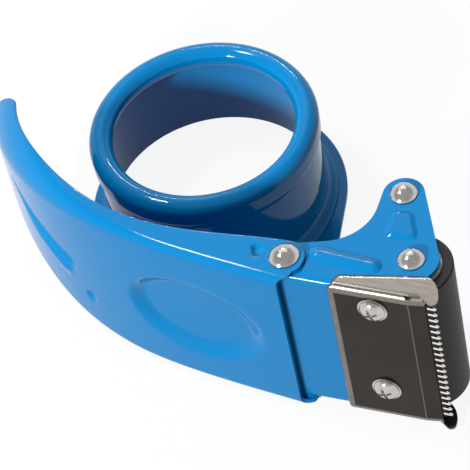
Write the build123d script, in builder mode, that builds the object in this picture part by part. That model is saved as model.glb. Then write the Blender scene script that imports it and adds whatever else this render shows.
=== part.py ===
"""Hand-held packing tape dispenser, lying on its side with the hub's axis upright.

The row frame is in millimetres. The origin is on the hub's axis, in the plane that the
dispenser lies on. +Z runs up the hub's axis and +X runs along the head's web to the teeth.
"""
import os
from math import acos, cos, degrees, radians, sin, sqrt, tan

from build123d import *

os.makedirs("parts", exist_ok=True)

# Pressed steel frame
frame_width = 61.0  # over the handle's two flanges
sheet = 1.2  # steel of the handle and of the head
nest_gap = 0.1  # between the flanges that lie on each other
rivet_tail = 1.0  # upset end of each rivet, under the handle
running_fit = 0.05  # radial clearance of what turns on a pin
seat_gap = 0.1  # radial clearance of what is set on a pin and stays

# Axes in plan
pivot_x, pivot_y = 53.6, -65.6
guide_x, guide_y = 80.8, -33.7
roller_x, roller_y = 90.5, -58.0

# Hub for a 76 mm core
lip_radius = 37.5  # widest part, which the core slides over
lip_roll = 3.85  # outer radius of the rolled lip
lip_land = 4.0  # straight height at the lip radius, on which the core seats
lip_flare = 3.0
hub_wall = 36.3
hub_sheet = 1.2
hub_height = 36.8  # above the plate that carries it
collar_radius = 39.6
collar_height = 2.2
mouth_flare = 4.4  # height and width of the cone that opens the lower mouth
seat_radius = 38.9  # of the hub where it sits in the plate
foot_radius = 41.4  # of the foot that the dispenser lies on
carrier_radius = 42.5

# Handle
nose_radius = 6.5  # rounded flange end about the pivot
web_points = (
    (66.0, -76.3),
    (52.6, -74.7),
    (25.0, -71.4),
    (-4.0, -65.6),
    (-29.5, -54.6),
    (-51.0, -37.2),
    (-69.5, -11.5),
)
flange_points = ((19.0, -61.3), (-8.8, -57.2), (-35.2, -41.6), (-56.5, -15.5))
tail_end = ((-60.6, -12.4), (-69.5, -14.0))
channel_depth = 24.0  # of the drawn channel before its flanges are trimmed
bend_front = 3.0
tail_start = 0.4  # fraction of the web's length where the channel starts to narrow
tail_drop = 10.5  # narrowing on each side at the tail's end
tail_bend = 10.0  # growth of the bend radius to the tail's end
section_count = 11
dish_center_x = 21.8
dish_half_length = 24.0
dish_half_height = 17.6
dish_drop = 0.8  # of its centre below the web's middle
dish_depth = 1.0  # below the chord of the web
dish_cap = 12.0  # depth from the centre of the ellipsoid that shapes the dish
stop_back, stop_rise = 9.2, 0.7  # from the pivot to the dimple that rests on the head's lug
stop_radius = 2.5
stop_depth = 1.1  # below the flange
stop_wall = 0.5
stop_taper = 15.0
squeeze_angle = 5.0  # travel of the handle towards the roll

# Head
head_web_y = -71.9  # outer face of the web
head_web_start = 52.6
head_web_end = 93.6
ear_radius = 6.4
lobe_radius = 8.4
ear_root = 15.4  # from the roller's axis back to the ear's left edge
neck_fillet = 16.0
lug_reach = 11.0  # of the flange behind the pivot, under the stop
lug_clear = 0.4  # left between the lug and the handle's bend at the end of the squeeze
head_bend = 2.4
bead_x, bead_y = 71.4, -62.1  # raised bead on the upper flange
bead_turn = -4.3  # degrees
bead_length = 22.0
bead_width = 4.6
bead_depth = 0.4
bead_taper = 30.0
panel_corners = ((79.9, -41.4), (80.6, -50.8), (89.2, -49.6), (85.4, -40.8))  # of the raised ear panel
panel_depth = 0.5
panel_taper = 50.0
arm_x, arm_y = 47.5, -62.5
arm_radius = 6.5

# Blade and cover
blade_sheet = 0.65  # of the blade, and of the cover that is hemmed to the same thickness
cover_start = 68.9
cover_end = 98.9
crease_x = 93.9
crease_angle = 8.0
blade_start = 75.0
blade_root = 99.2
tooth_depth = 2.6
tooth_count = 20
blade_inset = 4.0  # from each side of the frame to the blade
hem_width = 5.0
cover_bend = 2.4
cheek_radius = 9.5  # of the cheeks' outer corner
cheek_nose = 1.6  # rounded guard beside the teeth
cheek_rise = 5.8  # from the cover's face to the cheek's left shoulder
cheek_gap = 0.1  # between a cheek and the head's flange
notch_radius = 1.2  # relief where the crease meets a cheek
tooth_lean = 0.6  # of each tip towards the lower end
screw_x = 82.7
screw_up, screw_down = 15.4, 8.0  # from the frame's lower and upper side to the screws
screw_radius = 2.0
screw_head = 4.0
screw_head_height = 2.5
screw_edge = 0.5  # straight height of the head under its dome
cross_length = 4.4
cross_width = 0.9
cross_depth = 1.1
cross_turn = 20.0
washer_radius = 4.6
washer_sheet = 0.5
thread_collar = 1.0  # depth of the drawn collar behind each screw
thread_wall = 1.0

# Rivets and rollers
pivot_radius = 3.0
pivot_head = 4.6
axle_radius = 2.5
axle_head = 4.2
dome_height = 2.3
head_edge = 0.4  # straight height of a rivet head under its dome
tail_spread = 1.0  # how far an upset end stands out beyond its shank
sleeve_wall = 0.7
roller_radius = 12.4
rubber = 3.4
roller_chamfer = 0.5
end_play = 0.1  # of each roller against each washer
thin_washer = 0.5
washer_rim = 2.4  # width of a roller washer's ring
bush_wall = 1.2
bush_web = 2.0
bush_flange = 0.6
bush_depth = 8.0
core_wall = 1.5
guide_radius = 4.5

# Brake and spring
lever_sheet = 1.2
lever_width = 24.0
lever_bend = 1.6  # centre line radius
lever_rear = 7.0  # from the pivot back to the lever's rising strip
lever_over = 6.0  # from the pivot up to the strip that passes it
lever_front = 5.0  # from the pivot to where that strip turns up to the pad
foot_front, foot_back = 52.2, 48.2  # x of the two ends of the foot on the handle's web
pad_angle = 135.0  # about the roller's axis
pad_length = 12.0
pad_width = 20.0
pad_thickness = 2.5
pad_margin = 1.0  # of the lever beyond the pad
pad_clear = 0.26  # left between the pad and the roller at the end of the squeeze
spring_wire = 0.9
spring_turns = 6
spring_pitch = 1.25
spring_gap = 0.15  # between the coil and the sleeve
spring_leg = 10.0
spring_rise = 2.0  # from the lever up to the coil

# Levels
handle_low = rivet_tail
handle_high = handle_low + frame_width
head_low = handle_low + sheet + nest_gap
head_high = handle_high - sheet - nest_gap
inside_low = head_low + sheet
inside_high = head_high - sheet
middle = (handle_low + handle_high) / 2
hub_high = inside_low + hub_height
screw_low = handle_low + screw_up
screw_high = handle_high - screw_down
blade_width = frame_width - 2 * blade_inset


def polar(center_x, center_y, radius, angle):
    """Point at an angle on a circle in plan."""
    return (center_x + radius * cos(radians(angle)), center_y + radius * sin(radians(angle)))


def finish(part, label):
    """Name a finished piece and write it."""
    part.label = label
    export_step(part, f"parts/{label}.step")


# Hub: one drawn ring with a rolled lip above, a collar on the plate and a foot under it
lip_x = lip_radius - lip_roll
lip_z = hub_high - lip_roll
lip_inner = lip_roll - hub_sheet
neck_z = lip_z - lip_land - lip_flare
curl_end = 225.0
with BuildPart() as hub_ring:
    with BuildSketch(Plane.XZ):
        with BuildLine():
            inner_wall = hub_wall - hub_sheet
            foot = Polyline(
                (inner_wall, neck_z),
                (inner_wall, mouth_flare),
                (inner_wall + mouth_flare, 0),
                (foot_radius, 0),
                (foot_radius, head_low),
                (seat_radius, head_low),
                (seat_radius, inside_low),
                (collar_radius, inside_low),
                (collar_radius, inside_low + 0.6),
            )
            collar = Spline(
                foot @ 1,
                (hub_wall + 1.1, inside_low + collar_height),
                (hub_wall, inside_low + collar_height + 3.2),
                tangents=((-0.3, 1), (0, 1)),
            )
            wall = Line(collar @ 1, (hub_wall, neck_z))
            flare = Spline(wall @ 1, (lip_radius, lip_z - lip_land), tangents=((0, 1), (0, 1)))
            Line(flare @ 1, (lip_radius, lip_z))
            lip = CenterArc((lip_x, lip_z), lip_roll, 0, curl_end)
            edge = Line(lip @ 1, polar(lip_x, lip_z, lip_inner, curl_end))
            CenterArc((lip_x, lip_z), lip_inner, curl_end, -curl_end)
            inner_land = Line((lip_x + lip_inner, lip_z), (lip_x + lip_inner, lip_z - lip_land))
            Spline(inner_land @ 1, foot @ 0, tangents=((0, -1), (0, -1)))
        make_face()
    revolve(axis=Axis.Z)
finish(hub_ring.part, "hub_ring")


# Line of the handle's web in plan, which the head's stop lug and the brake lever keep to
web_path = Spline(*web_points)


def web_y(x):
    """Height in plan of the web's outer face at an x, by halving."""
    low, high = 0.0, 1.0
    for _ in range(30):
        mid = (low + high) / 2
        low, high = (mid, high) if (web_path @ mid).X > x else (low, mid)
    return (web_path @ low).Y


# Head: one channel with two ears, whose lower flange runs out to the plate under the hub
stop_x, stop_y = pivot_x - stop_back, pivot_y + stop_rise
lug_x = pivot_x - lug_reach
lug_high = stop_y - stop_radius - nest_gap
lug_low = web_y(lug_x) + bend_front + lug_reach * sin(radians(squeeze_angle)) + lug_clear
web_face = Plane.XZ.offset(-head_web_y)
screw_points = ((screw_x, screw_low), (screw_x, screw_high))
with BuildPart() as head_frame:
    with BuildSketch(Plane.XY.offset(head_low)) as flange_outline:
        with BuildLine():
            Polyline(
                (head_web_start, head_web_y),
                (head_web_end, head_web_y),
                (roller_x + lobe_radius, roller_y),
                (roller_x, roller_y + lobe_radius),
                (roller_x - ear_root, roller_y + lobe_radius * 0.6),
                (pivot_x, pivot_y + nose_radius),
                (pivot_x, lug_high),
                (lug_x, lug_high),
                (lug_x, lug_low),
                (head_web_start, head_web_y + sheet),
                close=True,
            )
        make_face()
        with Locations((pivot_x, pivot_y)):
            Circle(nose_radius)
        with BuildSketch(mode=Mode.ADD):
            with Locations((roller_x, roller_y)):
                Circle(lobe_radius)
            with Locations((guide_x, guide_y)):
                Circle(ear_radius)
            with Locations((roller_x - ear_root + 1, roller_y + 2)):
                Circle(1)
            make_hull()
        neck = flange_outline.vertices().sort_by_distance((roller_x - ear_root, roller_y + 5.0, head_low))[0]
        fillet(neck, neck_fillet)
    extrude(amount=head_high - head_low)
    bends = head_frame.edges().filter_by(GeomType.LINE).filter_by_position(Axis.Y, head_web_y, head_web_y)
    fillet(bends.filter_by(Axis.X), head_bend)
    with BuildSketch(Plane.XY.offset(inside_low)):
        with Locations((0, head_web_y + sheet)):
            Rectangle(300, 200, align=(Align.CENTER, Align.MIN))
    extrude(amount=inside_high - inside_low, mode=Mode.SUBTRACT)
    with BuildSketch(Plane.XY.offset(head_low)):
        Circle(carrier_radius)
        with Locations((arm_x, arm_y)):
            Circle(arm_radius)
        make_hull()
    extrude(amount=sheet)
    with Locations((0, 0, head_low)):
        Cylinder(seat_radius + seat_gap / 2, 3 * sheet, mode=Mode.SUBTRACT)
    for side, mode in ((head_high, Mode.ADD), (inside_high, Mode.SUBTRACT)):
        with BuildSketch(Plane.XY.offset(side)):
            with Locations(Location((bead_x, bead_y, 0), (0, 0, bead_turn))):
                SlotOverall(bead_length, bead_width)
        extrude(amount=bead_depth, taper=bead_taper, mode=mode)
        with BuildSketch(Plane.XY.offset(side)):
            Polygon(*panel_corners, align=None)
        extrude(amount=panel_depth, taper=panel_taper, mode=mode)
    for hole_x, hole_y, radius in (
        (pivot_x, pivot_y, pivot_radius),
        (guide_x, guide_y, axle_radius),
        (roller_x, roller_y, axle_radius),
    ):
        with Locations((hole_x, hole_y, middle)):
            Cylinder(radius + running_fit, 2 * frame_width, mode=Mode.SUBTRACT)
    with BuildSketch(web_face.offset(-sheet)):
        with Locations(*screw_points):
            Circle(screw_radius + thread_wall)
    extrude(amount=-thread_collar)
    with BuildSketch(web_face):
        with Locations(*screw_points):
            Circle(screw_radius + running_fit)
    extrude(amount=-2 * sheet - thread_collar, mode=Mode.SUBTRACT)
finish(head_frame.part, "head_frame")


# Handle: a drawn channel that narrows and rounds off towards its tail, with a dished oval in its web
def channel(inset):
    """Solid that fills the drawn channel, smaller by an inset on its web and both sides."""
    with BuildPart() as fill:
        for step in range(section_count):
            along = step / (section_count - 1)
            toward_tail = max(0, (along - tail_start) / (1 - tail_start))
            start = web_path @ along
            heading = web_path % along
            bend = bend_front + tail_bend * toward_tail**2 * (3 - 2 * toward_tail) - inset
            half = frame_width / 2 - tail_drop * toward_tail**3 - inset
            with BuildSketch(
                Plane(origin=(start.X, start.Y, middle), x_dir=(heading.Y, -heading.X, 0), z_dir=heading)
            ):
                with BuildLine():
                    Polyline((channel_depth, half), (inset + bend, half))
                    RadiusArc((inset + bend, half), (inset, half - bend), -bend)
                    Polyline((inset, half - bend), (inset, bend - half))
                    RadiusArc((inset, bend - half), (inset + bend, -half), -bend)
                    Polyline((inset + bend, -half), (channel_depth, -half), (channel_depth, half))
                make_face()
        loft()
    return fill.part


dish_z = middle - dish_drop
dish_ends = [
    Vector(x, web_y(x), dish_z) for x in (dish_center_x - dish_half_length, dish_center_x + dish_half_length)
]
dish_chord = dish_ends[1] - dish_ends[0]
dish_center = (dish_ends[0] + dish_ends[1]) * 0.5
dish_plane = Plane(origin=dish_center, x_dir=dish_chord, z_dir=Vector(-dish_chord.Y, dish_chord.X, 0))
dish_bulge = (dish_center - Vector(dish_center_x, web_y(dish_center_x), dish_z)).length
cap_center = dish_cap - dish_depth
long_axis = dish_chord.length / 2 / sqrt(1 - (cap_center / dish_cap) ** 2)
short_axis = dish_half_height / sqrt(1 - ((cap_center - dish_bulge) / dish_cap) ** 2)
die = scale(Sphere(1), by=(long_axis, short_axis, dish_cap))
dish_cut = dish_plane * (Pos(0, 0, -cap_center) * die)
inner_half = Box(4 * dish_half_length, frame_width, dish_cap, align=(Align.CENTER, Align.CENTER, Align.MIN))
dish_skin = dish_plane * (Pos(0, 0, sheet - cap_center) * die & inner_half)

drawn = channel(0)
with BuildPart() as handle:
    add(drawn)
    add(channel(sheet), mode=Mode.SUBTRACT)
    add(dish_skin & drawn)
    add(dish_cut, mode=Mode.SUBTRACT)
    with BuildSketch(Plane.XY.offset(handle_low)):
        with BuildLine():
            nose = CenterArc((pivot_x, pivot_y), nose_radius, 90, -135)
            top = Spline(nose @ 0, *flange_points, tangents=((-1, 0), (-0.45, 1)))
            tip = ThreePointArc(top @ 1, *tail_end)
            slant = nose.end_point().Y - web_points[1][1]
            Polyline(
                tip @ 1,
                (web_points[-1][0], web_points[0][1] - sheet),
                (nose.end_point().X - slant, web_points[0][1] - sheet),
                (nose.end_point().X - slant, web_points[1][1]),
                nose @ 1,
            )
        make_face()
    extrude(amount=frame_width, mode=Mode.INTERSECT)
    with BuildSketch(Plane.XY.offset(handle_high - sheet / 2)):
        with Locations((stop_x, stop_y)):
            Circle(stop_radius)
    extrude(amount=-stop_depth - sheet / 2)
    with BuildSketch(Plane.XY.offset(handle_high)):
        with Locations((stop_x, stop_y)):
            Circle(stop_radius - stop_wall)
    extrude(amount=-stop_depth, taper=stop_taper, mode=Mode.SUBTRACT)
    with Locations((pivot_x, pivot_y, middle)):
        Cylinder(pivot_radius + running_fit, 2 * frame_width, mode=Mode.SUBTRACT)
finish(handle.part, "handle")


# Rivets: a domed head above, a shank, and an upset end below
rivets = (
    ("pivot_rivet", pivot_x, pivot_y, pivot_radius, pivot_head, handle_low, handle_high),
    ("guide_axle", guide_x, guide_y, axle_radius, axle_head, head_low, head_high),
    ("roller_axle", roller_x, roller_y, axle_radius, axle_head, head_low, head_high),
)
for label, x, y, radius, head_radius, seat_low, seat_high in rivets:
    dome_base = seat_high + nest_gap + head_edge
    dome_radius = (head_radius**2 + dome_height**2) / (2 * dome_height)
    rim_angle = degrees(acos(head_radius / dome_radius))
    with BuildPart() as rivet:
        with BuildSketch(Plane(origin=(x, y, 0), x_dir=(1, 0, 0), z_dir=(0, -1, 0))):
            with BuildLine():
                Polyline(
                    (0, dome_base + dome_height),
                    (0, seat_low - rivet_tail),
                    (radius + tail_spread, seat_low - rivet_tail),
                    (radius + tail_spread, seat_low - nest_gap),
                    (radius, seat_low - nest_gap),
                    (radius, seat_high + nest_gap),
                    (head_radius, seat_high + nest_gap),
                    (head_radius, dome_base),
                )
                CenterArc((0, dome_base + dome_height - dome_radius), dome_radius, rim_angle, 90 - rim_angle)
            make_face()
        revolve(axis=Axis((x, y, 0), (0, 0, 1)))
    finish(rivet.part, label)


# Spacer tube round the pivot, between the head's flanges
sleeve_inner = pivot_radius + seat_gap
sleeve_outer = sleeve_inner + sleeve_wall
with BuildPart() as pivot_sleeve:
    with BuildSketch(Plane.XY.offset(inside_low)):
        with Locations((pivot_x, pivot_y)):
            Circle(sleeve_outer)
            Circle(sleeve_inner, mode=Mode.SUBTRACT)
    extrude(amount=inside_high - inside_low)
finish(pivot_sleeve.part, "pivot_sleeve")


# Return spring: a coil round the sleeve, with one leg along each web
coil_radius = sleeve_outer + spring_gap + spring_wire / 2
coil_low = middle + lever_width / 2 + spring_rise
coil_height = spring_turns * spring_pitch
coil_plane = Plane(origin=(pivot_x, pivot_y, coil_low), x_dir=(0, -1, 0), z_dir=(0, 0, 1))
with BuildPart() as return_spring:
    with BuildLine(coil_plane):
        coil = Helix(spring_pitch, coil_height, coil_radius)
    with BuildSketch(Plane(origin=coil @ 0, z_dir=coil % 0)):
        Circle(spring_wire / 2)
    sweep(path=coil, is_frenet=True)
    for level, reach in ((coil_low, -spring_leg), (coil_low + coil_height, spring_leg)):
        start = Vector(pivot_x - reach / 100, pivot_y - coil_radius, level)
        with BuildSketch(Plane(origin=start, z_dir=(reach, 0, 0))):
            Circle(spring_wire / 2)
        extrude(amount=spring_leg)
finish(return_spring.part, "return_spring")


# Brake: a sprung strip on the handle that passes over the pivot, with a rubber pad at its end
pad_normal = Vector(cos(radians(pad_angle)), sin(radians(pad_angle)), 0)
pad_along = Vector(pad_normal.Y, -pad_normal.X, 0)
roller_axis = Vector(roller_x, roller_y, 0)
brake_arm = (roller_axis - Vector(pivot_x, pivot_y, 0)).cross(pad_normal).length
pad_gap = pad_clear + brake_arm * sin(radians(squeeze_angle))
pad_face = roller_axis + pad_normal * (roller_radius + pad_gap)
strip_middle = pad_face + pad_normal * (pad_thickness + lever_sheet / 2)
half_strip = pad_length / 2 + pad_margin
corner_x = pivot_x - lever_rear
foot_slope = (web_y(foot_front) - web_y(foot_back)) / (foot_front - foot_back)
foot_depth = (sheet + nest_gap + lever_sheet / 2) * sqrt(1 + foot_slope**2)
foot_y = web_y(foot_back) + foot_depth
strip_start = strip_middle - pad_along * half_strip
strip_end = strip_middle + pad_along * half_strip
with BuildPart() as brake_lever:
    with BuildSketch(Plane.XY.offset(middle - lever_width / 2)):
        with BuildLine():
            FilletPolyline(
                (foot_front, foot_y + foot_slope * (foot_front - foot_back)),
                (corner_x, foot_y + foot_slope * (corner_x - foot_back)),
                (corner_x, pivot_y + lever_over),
                (pivot_x + lever_front, pivot_y + lever_over),
                (strip_start.X, strip_start.Y),
                (strip_end.X, strip_end.Y),
                radius=lever_bend,
            )
        trace(line_width=lever_sheet)
    extrude(amount=lever_width)
finish(brake_lever.part, "brake_lever")

with BuildPart() as brake_pad:
    with BuildSketch(Plane(origin=pad_face + Vector(0, 0, middle), x_dir=pad_along, z_dir=pad_normal)):
        RectangleRounded(pad_length, pad_width, 1)
    extrude(amount=pad_thickness)
finish(brake_pad.part, "brake_pad")


# Rubber roller: a sleeve of rubber on a tube, with a flanged bush in each end
roller_low = inside_low + thin_washer + end_play + bush_flange
roller_high = inside_high - thin_washer - end_play - bush_flange
core_outer = roller_radius - rubber
core_inner = core_outer - core_wall
axle_bore = axle_radius + running_fit
with BuildPart() as roller_core:
    with BuildSketch(Plane.XY.offset(roller_low)):
        with Locations((roller_x, roller_y)):
            Circle(core_outer)
            Circle(core_inner, mode=Mode.SUBTRACT)
    extrude(amount=roller_high - roller_low)
finish(roller_core.part, "roller_core")

with BuildPart() as rubber_roller:
    with BuildSketch(Plane.XY.offset(roller_low)):
        with Locations((roller_x, roller_y)):
            Circle(roller_radius)
            Circle(core_outer + running_fit, mode=Mode.SUBTRACT)
    extrude(amount=roller_high - roller_low)
    chamfer(rubber_roller.edges().filter_by(lambda edge: edge.length > 6.2 * roller_radius), roller_chamfer)
finish(rubber_roller.part, "rubber_roller")

bush_outer = core_inner - running_fit
with BuildPart() as roller_bushes:
    with BuildSketch(Plane(origin=(roller_x, roller_y, 0), x_dir=(1, 0, 0), z_dir=(0, -1, 0))):
        for end, inward in ((roller_low, 1), (roller_high, -1)):
            with BuildLine():
                Polyline(
                    (axle_bore, end - inward * bush_flange),
                    (core_outer - seat_gap, end - inward * bush_flange),
                    (core_outer - seat_gap, end),
                    (bush_outer, end),
                    (bush_outer, end + inward * bush_depth),
                    (bush_outer - bush_wall, end + inward * bush_depth),
                    (bush_outer - bush_wall, end + inward * bush_web),
                    (axle_bore + bush_wall, end + inward * bush_web),
                    (axle_bore + bush_wall, end + inward * bush_depth),
                    (axle_bore, end + inward * bush_depth),
                    close=True,
                )
            make_face()
    revolve(axis=Axis((roller_x, roller_y, 0), (0, 0, 1)))
finish(roller_bushes.part, "roller_bushes")


# Thin washers between each roller and the head's flanges
for label, x, y in (("roller_washers", roller_x, roller_y), ("guide_washers", guide_x, guide_y)):
    with BuildPart() as washers:
        for level in (inside_low, inside_high - thin_washer):
            with BuildSketch(Plane.XY.offset(level)):
                with Locations((x, y)):
                    Circle(axle_radius + washer_rim)
                    Circle(axle_radius + seat_gap, mode=Mode.SUBTRACT)
            extrude(amount=thin_washer)
    finish(washers.part, label)

with BuildPart() as guide_roller:
    with BuildSketch(Plane.XY.offset(inside_low + thin_washer + end_play)):
        with Locations((guide_x, guide_y)):
            Circle(guide_radius)
            Circle(axle_bore, mode=Mode.SUBTRACT)
    extrude(amount=inside_high - inside_low - 2 * thin_washer - 2 * end_play)
finish(guide_roller.part, "guide_roller")


# Blade: a toothed strip that lies on the web and turns in at the crease
crease_tan = tan(radians(crease_angle))


def creased(x, y):
    """Plan point at an x, on a line at height y that turns in at the crease."""
    return (x, y + max(0, x - crease_x) * crease_tan)


blade_low = middle - blade_width / 2
pitch = blade_width / tooth_count
with BuildPart() as blade:
    with BuildSketch(Plane.XY.offset(blade_low)):
        with BuildLine():
            outer = head_web_y - blade_sheet
            tip_x = blade_root + tooth_depth
            Polyline(
                (blade_start, head_web_y),
                (crease_x, head_web_y),
                creased(tip_x, head_web_y),
                creased(tip_x, outer),
                (crease_x, outer),
                (blade_start, outer),
                close=True,
            )
        make_face()
    extrude(amount=blade_width)
    with BuildSketch(Plane.XZ):
        with BuildLine():
            outline = [(blade_start, blade_low), (blade_root, blade_low)]
            for tooth in range(tooth_count):
                base = blade_low + tooth * pitch
                outline.append((blade_root + tooth_depth, base + pitch / 2 - tooth_lean))
                outline.append((blade_root, base + pitch))
            outline.append((blade_start, blade_low + blade_width))
            Polyline(*outline, close=True)
        make_face()
    extrude(amount=3 * abs(head_web_y), both=True, mode=Mode.INTERSECT)
    with BuildSketch(web_face):
        with Locations(*screw_points):
            Circle(screw_radius + seat_gap)
    extrude(amount=2 * sheet, both=True, mode=Mode.SUBTRACT)
finish(blade.part, "blade")


# Cover: a creased plate over the blade, hemmed on the left, with a cheek over each flange of the head
cover_face = head_web_y - 2 * blade_sheet
cover_inner = head_web_y - blade_sheet
cheek_low = head_low - cheek_gap
cheek_high = head_high + cheek_gap
cheek_x, cheek_y = crease_x - 0.6, head_web_y - 0.3
nose_x = cheek_x + cheek_radius - cheek_nose
with BuildPart() as cover_hollow:
    with BuildSketch(Plane.XY.offset(cheek_low)):
        with BuildLine():
            Polyline(
                (cover_start - 1, cover_inner),
                (crease_x, cover_inner),
                creased(cover_end + cheek_radius, cover_inner),
                (cover_end + cheek_radius, 0),
                (cover_start - 1, 0),
                close=True,
            )
        make_face()
    extrude(amount=cheek_high - cheek_low)
    inner_edges = cover_hollow.edges().filter_by(lambda edge: edge.center().Y < cover_inner + 1)
    ends = inner_edges.filter_by(lambda edge: edge.length > 4).group_by(Axis.Z)
    fillet(ends[0] + ends[-1], cover_bend - blade_sheet)
    with BuildSketch(Plane.XY.offset(cheek_low)):
        with Locations((cover_end, 0)):
            Rectangle(cheek_radius, -2 * head_web_y, align=(Align.MIN, Align.MAX))
    extrude(amount=cheek_high - cheek_low)

with BuildPart() as blade_cover:
    with BuildSketch(Plane.XY.offset(cheek_low - blade_sheet)) as cheek:
        with BuildLine():
            corner = CenterArc((cheek_x, cheek_y), cheek_radius, 80, -80)
            guard = CenterArc((nose_x, cheek_y), cheek_nose, 0, -115)
            Polyline(
                guard @ 1,
                creased(cover_end, cover_face),
                (crease_x, cover_face),
                (cover_start, cover_face),
                (cover_start + cheek_nose / 2, cover_face + cheek_rise),
                corner @ 0,
            )
        make_face()
        shoulder = cheek.vertices().sort_by_distance((cover_start, cover_face + cheek_rise, 0))[0]
        fillet(shoulder, 2 * cheek_nose)
        hem_corner = cheek.vertices().sort_by_distance((cover_start, cover_face, 0))[0]
        fillet(hem_corner, 0.9 * blade_sheet)
    extrude(amount=cheek_high - cheek_low + 2 * blade_sheet)
    long_edges = blade_cover.edges().filter_by(lambda edge: edge.center().Y < cover_inner and edge.length > 4)
    ends = long_edges.group_by(Axis.Z)
    fillet(ends[0] + ends[-1], cover_bend)
    add(cover_hollow.part, mode=Mode.SUBTRACT)
    with BuildSketch(Plane.XY.offset(blade_low)):
        with Locations((cover_start + blade_sheet, cover_inner)):
            Circle(blade_sheet)
            Rectangle(hem_width - blade_sheet, blade_sheet, align=(Align.MIN, Align.MIN))
    extrude(amount=blade_width)
    with BuildSketch(web_face):
        with Locations((crease_x, cheek_low - blade_sheet), (crease_x, cheek_high + blade_sheet)):
            Circle(notch_radius)
        with Locations(*screw_points):
            Circle(screw_radius + seat_gap)
    extrude(amount=2 * blade_sheet + sheet, mode=Mode.SUBTRACT)
finish(blade_cover.part, "blade_cover")


# Screws with a domed head and a crossed recess, each on a washer
with BuildPart() as screw_washers:
    with BuildSketch(Plane.XZ.offset(-cover_face)):
        with Locations(*screw_points):
            Circle(washer_radius)
            Circle(screw_radius + seat_gap, mode=Mode.SUBTRACT)
    extrude(amount=washer_sheet)
finish(screw_washers.part, "screw_washers")

head_base = cover_face - washer_sheet
head_dome = screw_head_height - screw_edge
head_arc = (screw_head**2 + head_dome**2) / (2 * head_dome)
head_rim = degrees(acos(screw_head / head_arc))
with BuildPart() as blade_screws:
    for level in (screw_low, screw_high):
        with BuildSketch(Plane(origin=(screw_x, 0, level), x_dir=(1, 0, 0), z_dir=(0, 0, -1))):
            with BuildLine():
                Polyline(
                    (0, -head_base + screw_head_height),
                    (0, -head_web_y - sheet - thread_collar),
                    (screw_radius, -head_web_y - sheet - thread_collar),
                    (screw_radius, -head_base),
                    (screw_head, -head_base),
                    (screw_head, -head_base + screw_edge),
                )
                CenterArc((0, -head_base + screw_head_height - head_arc), head_arc, head_rim, 90 - head_rim)
            make_face()
        revolve(axis=Axis((screw_x, 0, level), (0, 1, 0)))
    with BuildSketch(Plane.XZ.offset(-head_base + screw_head_height)):
        with Locations(*screw_points):
            Rectangle(cross_length, cross_width, rotation=cross_turn)
            Rectangle(cross_width, cross_length, rotation=cross_turn)
    extrude(amount=-cross_depth, mode=Mode.SUBTRACT)
finish(blade_screws.part, "blade_screws")
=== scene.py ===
"""Dresses a hand-held packing tape dispenser that lies on its side.

Blue enamelled steel carries the hub, the head and the handle. The rubber roller, the toothed
blade and its steel cover sit in the head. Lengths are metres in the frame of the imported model,
unless a name ends in _mm or a class says that its sizes are in mm.
"""
import logging
import math
from dataclasses import dataclass, field
from enum import Enum

import bmesh
import bpy
import numpy as np
from mathutils import Matrix, Vector


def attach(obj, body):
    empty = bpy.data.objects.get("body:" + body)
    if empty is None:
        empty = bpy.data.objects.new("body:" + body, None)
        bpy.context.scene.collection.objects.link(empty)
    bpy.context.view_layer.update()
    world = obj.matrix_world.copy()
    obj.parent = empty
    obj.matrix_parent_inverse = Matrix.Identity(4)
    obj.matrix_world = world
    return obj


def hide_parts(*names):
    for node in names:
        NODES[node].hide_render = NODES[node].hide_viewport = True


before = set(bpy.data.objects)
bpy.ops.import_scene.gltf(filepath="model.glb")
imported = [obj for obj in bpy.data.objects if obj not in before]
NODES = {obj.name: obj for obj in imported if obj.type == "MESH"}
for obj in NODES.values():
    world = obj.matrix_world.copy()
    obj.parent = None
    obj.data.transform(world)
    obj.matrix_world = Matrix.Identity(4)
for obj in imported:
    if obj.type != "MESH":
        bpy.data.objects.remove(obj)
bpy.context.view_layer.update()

LOG = logging.getLogger("dispenser")
MM = 0.001
WELD = 1e-7
SHARP_ANGLE = math.radians(40)
TINY = 1e-12
# Nearly all values of a noise texture lie between these two.
NOISE_LOW, NOISE_HIGH = 0.3, 0.7
WHITE = (1.0, 1.0, 1.0, 1.0)


class Body(Enum):
    """The bodies that the added pieces ride on."""

    FRAME = "frame"
    GRIP = "grip"


def linear(code: str) -> tuple[float, float, float, float]:
    """Turns an sRGB hex value into linear light.

    Args:
        code: Six hex digits, with or without a leading #.

    Returns:
        Red, green, blue and an alpha of 1.
    """
    digits = code.lstrip("#")
    channels = [int(digits[i : i + 2], 16) / 255 for i in (0, 2, 4)]
    values = [c / 12.92 if c <= 0.04045 else ((c + 0.055) / 1.055) ** 2.4 for c in channels]
    return (*values, 1.0)


def add_node(tree: bpy.types.NodeTree, kind: str, **settings) -> bpy.types.Node:
    """Adds a node with its settings and links.

    Args:
        tree: Node tree that gets the node.
        kind: Node type name.
        **settings: Node properties, or input sockets by name or number where the name starts
            with in_. A socket takes a value, or the output that feeds it.

    Returns:
        The new node.
    """
    node = tree.nodes.new(kind)
    for name, value in settings.items():
        if not name.startswith("in_"):
            setattr(node, name, value)
            continue
        key = name[3:].replace("_", " ")
        socket = node.inputs[int(key) if key.isdigit() else key]
        if isinstance(value, bpy.types.NodeSocket):
            tree.links.new(value, socket)
        else:
            socket.default_value = value
    return node


def new_material(name: str) -> tuple[bpy.types.Material, bpy.types.NodeTree]:
    """Makes an empty node material.

    Args:
        name: Name of the material.

    Returns:
        The material and its node tree.
    """
    material = bpy.data.materials.new(name)
    material.use_nodes = True
    material.node_tree.nodes.clear()
    return material, material.node_tree


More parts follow.
